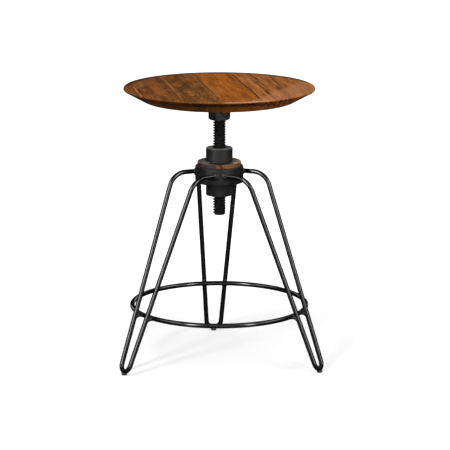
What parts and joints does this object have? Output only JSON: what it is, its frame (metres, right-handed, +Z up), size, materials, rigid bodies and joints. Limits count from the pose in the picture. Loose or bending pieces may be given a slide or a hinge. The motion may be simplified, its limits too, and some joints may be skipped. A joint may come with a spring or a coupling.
{
  "type": "adjustable swivel stool",
  "caption": "Backless stool with a round plank seat on a threaded screw that turns in a hub, hairpin rod legs and a round foot ring.",
  "frame": {"origin": "on the floor, on the screw's axis", "axes": "+Z up along the screw, -Y to the front between the two front legs, +X to the right"},
  "size_m": [0.3802, 0.3929, 0.5215],
  "materials": {
    "frame_black": "satin charcoal-black paint",
    "weld_black": "painted weld bead",
    "disc_patina": "worn paint with a brown, rust-like patina",
    "screw_black": "oiled black",
    "fixing_steel": "plain zinc",
    "foot_pad": "grey nylon",
    "wood_1": "stained and varnished hardwood plank",
    "wood_2": "stained and varnished hardwood plank",
    "wood_3": "stained and varnished hardwood plank",
    "wood_4": "stained and varnished hardwood plank",
    "wood_5": "stained and varnished hardwood plank",
    "wood_6": "stained and varnished hardwood plank"
  },
  "bodies": {
    "base": {"hairpin_leg_front_left": "frame_black", "hairpin_leg_front_right": "frame_black", "hairpin_leg_back": "frame_black", "foot_ring": "frame_black", "ring_welds": "weld_black", "foot_pad_front_left": "foot_pad", "foot_pad_front_right": "foot_pad", "foot_pad_back": "foot_pad", "hub_ring": "frame_black", "hub_top_disc": "disc_patina", "nut_tube": "frame_black", "leg_welds": "weld_black", "tube_weld": "weld_black"},
    "lift": {"seat_washer": "fixing_steel"},
    "seat": {"threaded_screw": "screw_black", "hex_nut": "frame_black", "mounting_plate": "frame_black", "plug_weld": "weld_black", "wood_screws": "fixing_steel", "seat_plank_1": "wood_1", "seat_plank_2": "wood_2", "seat_plank_3": "wood_3", "seat_plank_4": "wood_4", "seat_plank_5": "wood_5", "seat_plank_6": "wood_6"}
  },
  "joints": [
    {"name": "seat_height", "type": "slide", "parent": "base", "child": "lift", "axis": [0, 0, 1], "range_m": [-0.0513, 0.0363]},
    {"name": "seat_swivel", "type": "hinge", "parent": "lift", "child": "seat", "pos_m": [0, 0, 0.5], "axis": [0, 0, 1], "range_deg": [-3690, 2610]}
  ],
  "couplings": [
    {"joint": "seat_height", "follows": "seat_swivel", "m_per_rad": 0.00079577}
  ]
}
